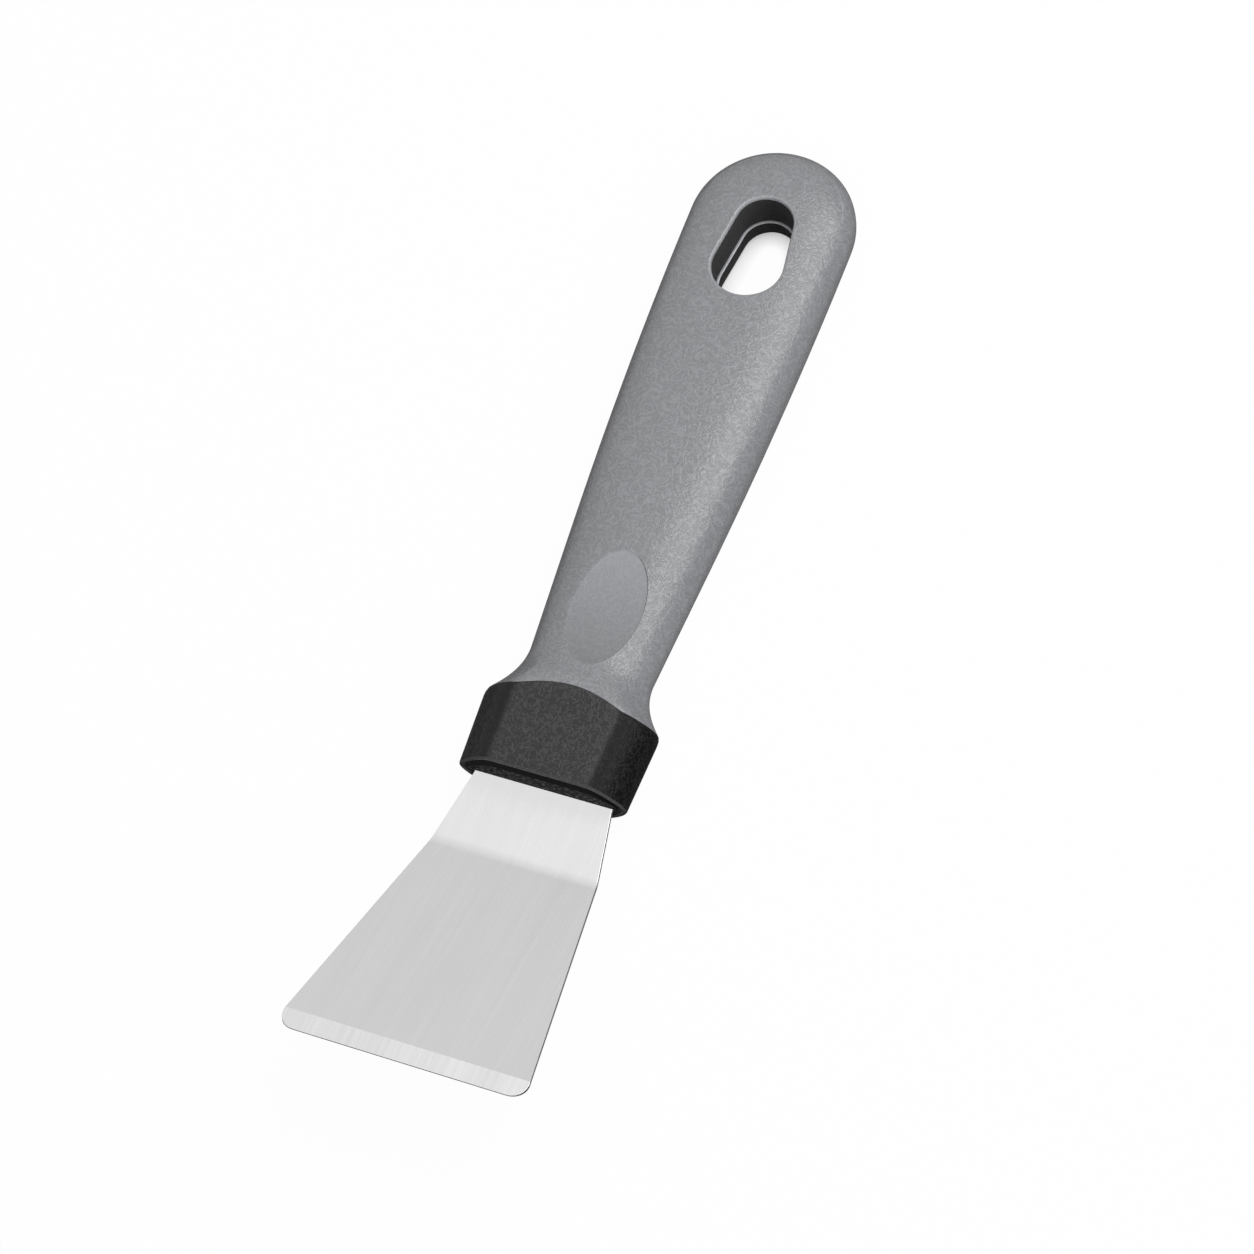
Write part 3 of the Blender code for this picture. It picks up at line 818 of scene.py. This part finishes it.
def grip_finish(form):
    """Soft grey overmould with fingerprint lines, with painted highlights along its rims, the
    bead, the joint and the tail, and painted light in the thumb dish.
    """
    sizes, hole = bpy.context.scene.scraper_finish, form.hole
    grain = sizes.grip_grain
    finish = Finish("rubber_grey", 0.3)
    whorl = finish.noise(4.3 * grain, 1.0, 0.4, 0.4)
    ridge = ((whorl * 42.0).wave() * 0.5 + 0.5) ** 2
    worm = finish.worms(1.2 * grain, 9.0)
    speck = finish.noise(0.4 * grain, 1.0)
    cloud = finish.noise(GRIP_CLOUD)

    # The thumb dish, with painted light inside it and a painted highlight round its outline
    across = finish.axis(0) / hole.dish_half_width
    along = (finish.depth() - hole.dish_from_front) / hole.dish_half_length
    round_dish = across ** 2 + along ** 2
    top_side = finish.axis(2).fade(*TOP_FADE)
    dish = round_dish.outside(0.96, 1.0) * top_side
    dish_rim_highlight = round_dish.fade(0.92, 0.98) * round_dish.outside(1.0, 1.05) * top_side

    # Painted highlights along the hole's rims, the bead in its wall, the front at the joint and a
    # ring round the tail; the ring is also a moulded line in the bump
    hole_rim_highlight = finish.past_hole(hole).outside(*RIM_FADE)
    bead = finish.past_hole(hole).outside(*BEAD_FADE)
    joint = (finish.depth() - form.s.collar_length).outside(*JOINT_FADE)
    joint = joint * (0 - finish.facing(1)).fade(0.3, 0.6)
    round_tail = (finish.depth() - form.tail_y).at_least(0.0) / form.s.tail_length
    reach = ((finish.axis(0) / form.s.tail_half) ** 2 + round_tail ** 2) ** 0.5
    ring = reach.fade(0.855, 0.87) * reach.outside(0.87, 0.885) * round_tail.fade(0.0, 0.4)
    ring = ring * cloud.fade(0.30, 0.48)

    height = around((ridge * 0.45 + worm * 0.45) * (1 - dish * 0.5), (speck, 0.22))
    # Grain tone, plus painted light in the thumb dish that is lighter towards the tail
    moulded = around(0.87 + height * 0.34, (cloud, 0.05)) + dish * (along * 0.20 + 0.13)
    # Painted highlights along the hole's rims, the bead, the joint, the tail's ring and the dish's
    # outline
    painted_highlights = hole_rim_highlight * 0.4 + bead * 1.2 + joint * 0.6 + ring * 0.25 + dish_rim_highlight * 0.12
    finish.set(Base_Color=finish.tint(sizes.grey, moulded + painted_highlights),
               Roughness=0.28 - height * 0.10, Coat_Weight=height * 0.3 + hole_rim_highlight * 0.3,
               Coat_Roughness=0.3)
    finish.bump(height + ring, 0.00006, 0.85)
    return finish.material


def collar_finish():
    """Moulded black plastic with thin worm strokes, and a painted highlight along the lip's front.
    """
    sizes = bpy.context.scene.scraper_finish
    grain = sizes.collar_grain
    finish = Finish("plastic_collar", 0.4)
    speck = finish.noise(0.3 * grain)
    height = around(finish.worms(grain, 13.0) * 0.8, (speck, 0.4))
    # Painted highlight along the front of the lip, on faces that turn forwards and up
    lip = finish.depth().outside(*LIP_FADE) * (0 - finish.facing(1)).fade(0.2, 0.6)
    lip = lip * finish.facing(2).fade(-0.2, 0.3)
    sideways = abs(finish.facing(0))
    crease = sideways.fade(0.03, 0.28) * sideways.outside(0.45, 0.75)
    finish.set(Base_Color=finish.tint(sizes.black, 0.8 + height * 5.0 + lip * 28.0),
               Roughness=0.38 + height * 0.05 + crease * 0.4,
               Coat_Weight=(height * (0.55 - crease * 0.45)).at_least(0.0),
               Coat_Roughness=0.32, Specular_IOR_Level=0.45)
    finish.bump(height, 0.00004)
    return finish.material


def core_finish():
    """Dull black plastic, crumbly where it was cut off in the mouth, with painted shade inside the
    mouth and painted light on the walls that face sideways.
    """
    finish = Finish("plastic_core", 0.7)
    crumb = finish.noise(CORE_CRUMB, 3.0, 0.7)
    speck = finish.noise(CORE_SPECK)
    mouth = finish.depth().outside(*MOUTH_FADE)
    front = mouth * (0 - finish.facing(1)).fade(0.2, 0.6)
    # Painted light: walls that face sideways are made lighter
    wall = 0.45 + speck * 0.7 + abs(finish.facing(0)) * 0.6
    # Painted shade: inside the mouth the colour drops to near black, and only the crumbly faces
    # that turn forwards stay lighter
    cut = 0.03 + front * crumb.fade(0.46, 0.70) * 2.6
    base = bpy.context.scene.scraper_finish.core_black
    finish.set(Base_Color=finish.tint(base, wall + mouth * (cut - wall)),
               Roughness=0.6 + speck * 0.2, Specular_IOR_Level=0.18)
    finish.bump(crumb * front + speck * 0.3, 0.0006)
    return finish.material


class SCRAPER_OT_blade(bpy.types.Operator):
    """Model the bent blade with its ground bevel and its hidden tang"""
    bl_idname = "scraper.blade"
    bl_label = "Blade"

    def execute(self, context):
        form = BladeForm()
        b = form.b
        blade = sheet("steel_blade", form.tang_rows() + form.blade_rows())
        edge_y = form.top_at(form.total)[0]
        select_points(lambda co: co.y < edge_y + MERGE_DISTANCE)
        flare = atan((b.edge_half - b.bend_half) / b.face_length)
        bpy.ops.mesh.bevel(offset=b.corner_radius / tan(0.5 * (RIGHT_ANGLE - flare)),
                           segments=CORNER_STEPS, affect="VERTICES")
        apply_modifier(blade, "SOLIDIFY", thickness=b.thickness, offset=-1, use_even_offset=True)
        carve(blade, self.grinding_block(form))
        for depth in (b.tang_hole_near, b.tang_hole_far):
            carve(blade, round_post("tang_hole", depth, b.tang_hole_radius,
                                    form.top - CUTTER_MARGIN, form.top + CUTTER_MARGIN))
        apply_modifier(blade, "BEVEL", width=b.edge_round, segments=2, limit_method="ANGLE",
                       angle_limit=OUTLINE_ANGLE)
        line_y, line_z = form.top_at(form.bevel_start)
        edit_points(blade)
        select_points(lambda co: max(abs(co.y - line_y), abs(co.z - line_z)) < LINE_TOLERANCE)
        bpy.ops.mesh.mark_sharp()
        shade(blade, SHEET_SMOOTH_ANGLE)
        hand_over(blade, steel_finish(form), "brushed_steel", "blade")
        return {"FINISHED"}

    @staticmethod
    def grinding_block(form):
        """Block that lies on the plane of the ground bevel."""
        b = form.b
        slope = atan((b.thickness - b.bevel_edge) / b.bevel_length)
        line_y, line_z = form.top_at(form.bevel_start)
        turn = slope - b.bend_angle
        ahead = Vector((0.0, -cos(turn), -sin(turn)))
        up = Vector((0.0, -sin(turn), cos(turn)))
        size = Vector((2.0 * b.edge_half + CUTTER_MARGIN, 4.0 * b.bevel_length, CUTTER_MARGIN))
        centre = Vector((0.0, line_y, line_z)) + up * 0.5 * size.z + ahead * 0.45 * size.y
        return block("grinding_block", centre, size, turn)


class SCRAPER_OT_collar(bpy.types.Operator):
    """Model the black sleeve with its rounded lip and its arched joint"""
    bl_idname = "scraper.collar"
    bl_label = "Collar"

    def execute(self, context):
        form = HandleForm()
        s = form.s
        inner_round = s.lip_wall - s.lip_round
        body_end = form.collar_end - s.joint_round
        rings = form.rounded_start(0.0, s.lip_round)
        rings += [form.ring(y) for y in steps_to(s.lip_round, body_end, COLLAR_STEPS)]
        rings += [form.ring(body_end + s.joint_round * sin(angle),
                            s.joint_round * (1.0 - cos(angle)))
                  for angle in quarter_turn()[1:]]
        rings.append(form.ring(form.collar_end, s.outer_wall))
        rings += [form.ring(y, s.outer_wall)
                  for y in steps_to(form.collar_end, s.mouth_depth, COLLAR_STEPS)]
        rings.append(form.ring(s.mouth_depth, s.lip_wall))
        rings += [form.ring(inner_round * (1.0 - sin(angle)),
                            s.lip_wall - inner_round * (1.0 - cos(angle)))
                  for angle in quarter_turn()[:-1]]
        collar = loft("black_collar", rings, closed=True)
        shade(collar)
        collar.visible_glossy = False
        hand_over(collar, collar_finish(), "black_plastic", "collar")
        return {"FINISHED"}


class SCRAPER_OT_core(bpy.types.Operator):
    """Model the two black halves inside the handle, which hold the tang and line the hole"""
    bl_idname = "scraper.core"
    bl_label = "Core"

    def execute(self, context):
        form, blade = HandleForm(), BladeForm()
        s, h, b = form.s, form.hole, blade.b
        parting = blade.top - b.thickness
        foot = parting - s.gap - b.post_reach
        post = (b.tang_hole_radius - s.gap, foot, blade.top + 2.0 * s.gap)
        socket = (b.tang_hole_radius, foot - s.gap, blade.top)
        reach = HANDLE_LENGTH + 2.0 * CUTTER_MARGIN
        middle = FRONT_Y + 0.5 * HANDLE_LENGTH
        width = 2.0 * (s.collar_rear_half + CUTTER_MARGIN)
        finish = core_finish()
        for name, node, low, high, ledge, pin, operation in (
                ("core_top", "core_upper", parting, CUTTER_CEILING, 0.0, post, "UNION"),
                ("core_bottom", "core_lower", CUTTER_FLOOR, parting - s.gap, h.ledge, socket,
                 "DIFFERENCE")):
            half = self.whole_core(name, form)
            carve(half, eyelet("lining", form, h.eyelet_wall, -(h.rim_lip + s.gap)), "UNION")
            carve(half, block("half_space", (0.0, middle, 0.5 * (low + high)),
                              (width, reach, high - low)), "INTERSECT")
            carve(half, loft("hole", [form.flat_slot(-ledge, CUTTER_FLOOR),
                                      form.flat_slot(-ledge, CUTTER_CEILING)]))
            if node == "core_upper":
                carve(half, self.tang_pocket(blade, s.gap))
            for depth in (b.tang_hole_near, b.tang_hole_far):
                carve(half, round_post("pin", depth, *pin), operation)
            shade(half)
            half.visible_glossy = False
            hand_over(half, finish, "black_plastic", node)
        return {"FINISHED"}

    @staticmethod
    def whole_core(name, form):
        """Solid that fills collar and grip, with the low blade seat at its front."""
        s = form.s
        front = [form.ring(y, form.core_inset, s.seat_rise, s.seat_fall)
                 for y in (s.seat_setback, form.seat_end)]
        front += [form.ring(y, form.core_inset)
                  for y in steps_from(form.seat_end, form.grip_start, CORE_FRONT_STEPS)]
        return handle_skin(name, form, form.core_inset, front, solid=True)

    @staticmethod
    def tang_pocket(form, gap):
        """Room for the blade's neck and tang, open downwards and to the front."""
        rows = form.tang_rows(gap)
        rows.append((FRONT_Y - CUTTER_MARGIN, form.top, form.b.neck_half + gap))
        pocket = sheet("tang_pocket", rows)
        bpy.ops.mesh.select_all(action="SELECT")
        bpy.ops.transform.translate(value=(0.0, 0.0, gap))
        bpy.ops.mesh.extrude_region_move(
            TRANSFORM_OT_translate={"value": (0.0, 0.0, -form.b.thickness - CUTTER_MARGIN)})
        close_seams()
        return pocket


class SCRAPER_OT_grip(bpy.types.Operator):
    """Model the soft grey shell with its thumb dish and the rims of the hanging hole"""
    bl_idname = "scraper.grip"
    bl_label = "Grip"

    def execute(self, context):
        form = HandleForm()
        s, h = form.s, form.hole
        start = form.grip_start
        grip = handle_skin("grey_grip", form, 0.0, form.rounded_start(start, s.joint_round))
        inner = handle_skin("grip_inside", form, s.outer_wall, [form.ring(start, s.outer_wall)])
        work_on(grip)
        inner.select_set(True)
        bpy.ops.object.join()
        edit_points(grip)
        bpy.ops.mesh.select_all(action="DESELECT")
        bpy.ops.mesh.select_non_manifold()
        bpy.ops.mesh.bridge_edge_loops()
        close_seams()
        carve(grip, eyelet("lining_room", form, h.eyelet_wall + s.gap, -h.rim_lip))
        carve(grip, self.rim_cutter(form))
        carve(grip, self.dish_cutter(form))
        shade(grip)
        finish = grip_finish(form)
        hand_over(grip, finish, "grey_rubber", "grip")
        hand_over(self.parting_bead(form), finish, "grey_rubber")
        return {"FINISHED"}

    @staticmethod
    def parting_bead(form):
        """Thin bead of the overmould that fills the core's parting line round the hole."""
        h, blade = form.hole, BladeForm()
        middle = blade.top - blade.b.thickness - 0.5 * form.s.gap
        radius = 0.5 * h.bead_height
        inside = -h.ledge - h.bead_reach + radius
        section = [(inside - radius * cos(turn), middle + radius * sin(turn))
                   for turn in steps_to(-RIGHT_ANGLE, RIGHT_ANGLE, 2 * ROUND_STEPS)]
        section += [(0.5 * h.eyelet_wall, middle + radius), (0.5 * h.eyelet_wall, middle - radius),
                    (inside, middle - radius)]
        bead = loft("parting_bead", [form.flat_slot(*point) for point in section], closed=True)
        shade(bead)
        return bead

    @staticmethod
    def rim_cutter(form):
        """Cutter for the hole, flared so that both rims come out rounded."""
        radius = form.hole.rim_round
        flare = [(radius * (1.0 - cos(turn)), radius * (sin(turn) - 1.0))
                 for turn in steps_from(0.0, RIM_TURN, RIM_STEPS)]
        rings = [form.flat_slot(radius, CUTTER_FLOOR)]
        rings += [form.slot_ring(offset, -1, above) for offset, above in reversed(flare)]
        rings += [form.slot_ring(offset, 1, above) for offset, above in flare]
        rings.append(form.flat_slot(radius, CUTTER_CEILING))
        return loft("rim_cutter", rings)

    @staticmethod
    def dish_ring(form, part, above=None):
        """Loop of the dish's floor at a share of its size, or over the grip's top."""
        h = form.hole
        ring = []
        for turn in steps_to(0.0, 2.0 * pi, DISH_POINTS):
            x = part * h.dish_half_width * cos(turn)
            along = part * sin(turn)
            y = h.dish_from_front + along * h.dish_half_length
            if above is None:
                rise = (h.dish_depth - h.dish_step) * along ** 2
                height = form.surface_height(0.0, y, 1) - h.dish_depth + rise
            else:
                height = form.surface_height(x, y, 1) + above
            ring.append(Vector((x, FRONT_Y + y, height)))
        return ring

    def dish_cutter(self, form):
        """Scoop that is straight across, with a crisp step where it leaves the grip's top."""
        wall = form.hole.dish_step / form.hole.dish_half_width
        parts = [DISH_MIDDLE / DISH_STEPS] + steps_to(0.0, 1.0 - wall, DISH_STEPS)
        rings = [self.dish_ring(form, part) for part in parts]
        rings.append(self.dish_ring(form, 1.0 + wall, form.hole.dish_step))
        rings.append([Vector((place.x, place.y, CUTTER_CEILING)) for place in rings[-1]])
        return loft("dish_cutter", rings)


class SCRAPER_OT_stage(bpy.types.Operator):
    """Add the white floor, the soft light and the camera"""
    bl_idname = "scraper.stage"
    bl_label = "Stage"

    def execute(self, context):
        scene = context.scene
        self.add_floor(scene)
        scene.world = self.soft_world()
        lamp = add_object("softbox", bpy.ops.object.light_add, type="AREA", location=LAMP_PLACE,
                          rotation=Vector(LAMP_PLACE).to_track_quat("Z", "Y").to_euler())
        lamp.data.shape = "DISK"
        lamp.data.size = LAMP_SIZE
        lamp.data.energy = LAMP_ENERGY
        turn = (Matrix.Rotation(CAMERA_HEADING, 3, "Z") @ Matrix.Rotation(CAMERA_TILT, 3, "X") @
                Matrix.Rotation(CAMERA_ROLL, 3, "Z"))
        scene.camera = add_object("Camera", bpy.ops.object.camera_add, location=CAMERA_PLACE,
                                  rotation=turn.to_euler())
        scene.camera.data.sensor_width = CAMERA_SENSOR
        scene.camera.data.lens = CAMERA_LENS
        scene.view_settings.view_transform = "Standard"
        return {"FINISHED"}

    @staticmethod
    def add_floor(scene):
        """Floor that the camera sees as white, with only a faint shadow left on it."""
        floor = add_object("studio_floor", bpy.ops.mesh.primitive_plane_add, size=FLOOR_SIZE,
                           location=(0.0, 0.0, -FLOOR_DROP))
        bpy.ops.object.transform_apply(location=True)
        finish = Finish("floor_white", 0.9)
        camera_ray, shown = finish.backdrop_rays()
        # Sockets 0, 6 and 7 of this Mix node are its factor and its two colours
        finish.set(Base_Color=finish.add("ShaderNodeMix", {
            0: camera_ray, 6: (*scene.scraper_finish.floor, 1.0), 7: FLOOR_WHITE},
            output=2, data_type="RGBA"))
        white = finish.add("ShaderNodeEmission", {
            "Color": WHITE, "Strength": camera_ray.at_least(FLOOR_GLOSS)})
        near = finish.add("ShaderNodeAmbientOcclusion", {"Distance": SHADOW_REACH}, output="AO",
                          samples=8)
        inside = finish.past_hole(scene.scraper_hole).outside(*SHADOW_FADE)
        lit = FLOOR_LIT - (1 - near) * inside * HOLE_SHADOW
        surface = Signal(finish, finish.shader.outputs[0])
        mixed = finish.add("ShaderNodeMixShader", [shown * lit, surface, white])
        finish.feed(finish.tree.nodes["Material Output"].inputs["Surface"], mixed)
        floor.data.materials.append(finish.material)

    @staticmethod
    def soft_world():
        """Soft light from the front right, and a white backdrop that the gloss shows too."""
        world = bpy.data.worlds.new("studio")
        world.use_nodes = True
        nodes = Nodes(world.node_tree)
        direction = nodes.add("ShaderNodeTexCoord", output="Generated")
        camera_ray, shown = nodes.backdrop_rays()

        def glow(middle, bright, power):
            """Brightness of one soft patch, which falls off round its middle."""
            towards = nodes.add("ShaderNodeVectorMath", [direction, Vector(middle).normalized()],
                                output="Value", operation="DOT_PRODUCT")
            return towards.at_least(0.0) ** power * bright

        first, second, third = (glow(*patch) for patch in GLOSS_PATCHES)
        soft, white = (nodes.add("ShaderNodeBackground", {"Color": WHITE, "Strength": light})
                       for light in (glow(*SOFT_PATCH) + SOFT_LEAST,
                                     camera_ray.at_least(first + second + third)))
        mixed = nodes.add("ShaderNodeMixShader", [shown, soft, white])
        nodes.feed(world.node_tree.nodes["World Output"].inputs["Surface"], mixed)
        return world


class SCRAPER_PT_panel(bpy.types.Panel):
    """Lists the scraper's pieces and sizes in the sidebar"""
    bl_idname = "SCRAPER_PT_panel"
    bl_label = "Griddle scraper"
    bl_space_type = "VIEW_3D"
    bl_region_type = "UI"
    bl_category = "Scraper"

    def draw(self, context):
        for operator in OPERATORS:
            self.layout.operator(operator.bl_idname)
        for name in PROPERTIES:
            sizes = getattr(context.scene, name)
            column = self.layout.column()
            for field in sizes.bl_rna.properties.keys():
                if field not in ("rna_type", "name"):
                    column.prop(sizes, field, text=field.replace("_", " ").capitalize())


OPERATORS = (SCRAPER_OT_blade, SCRAPER_OT_collar, SCRAPER_OT_core, SCRAPER_OT_grip,
             SCRAPER_OT_stage)
PROPERTIES = {
    "scraper_handle": ScraperHandle,
    "scraper_hole": ScraperHole,
    "scraper_blade": ScraperBlade,
    "scraper_finish": ScraperFinish,
}
CLASSES = (*PROPERTIES.values(), *OPERATORS, SCRAPER_PT_panel)


def register():
    for entry in CLASSES:
        bpy.utils.register_class(entry)
    for name, group in PROPERTIES.items():
        setattr(bpy.types.Scene, name, bpy.props.PointerProperty(type=group))


def unregister():
    for name in PROPERTIES:
        delattr(bpy.types.Scene, name)
    for entry in reversed(CLASSES):
        bpy.utils.unregister_class(entry)


def main():
    register()
    bpy.ops.scraper.blade()
    bpy.ops.scraper.collar()
    bpy.ops.scraper.core()
    bpy.ops.scraper.grip()
    bpy.ops.scraper.stage()


if __name__ == "__main__":
    main()
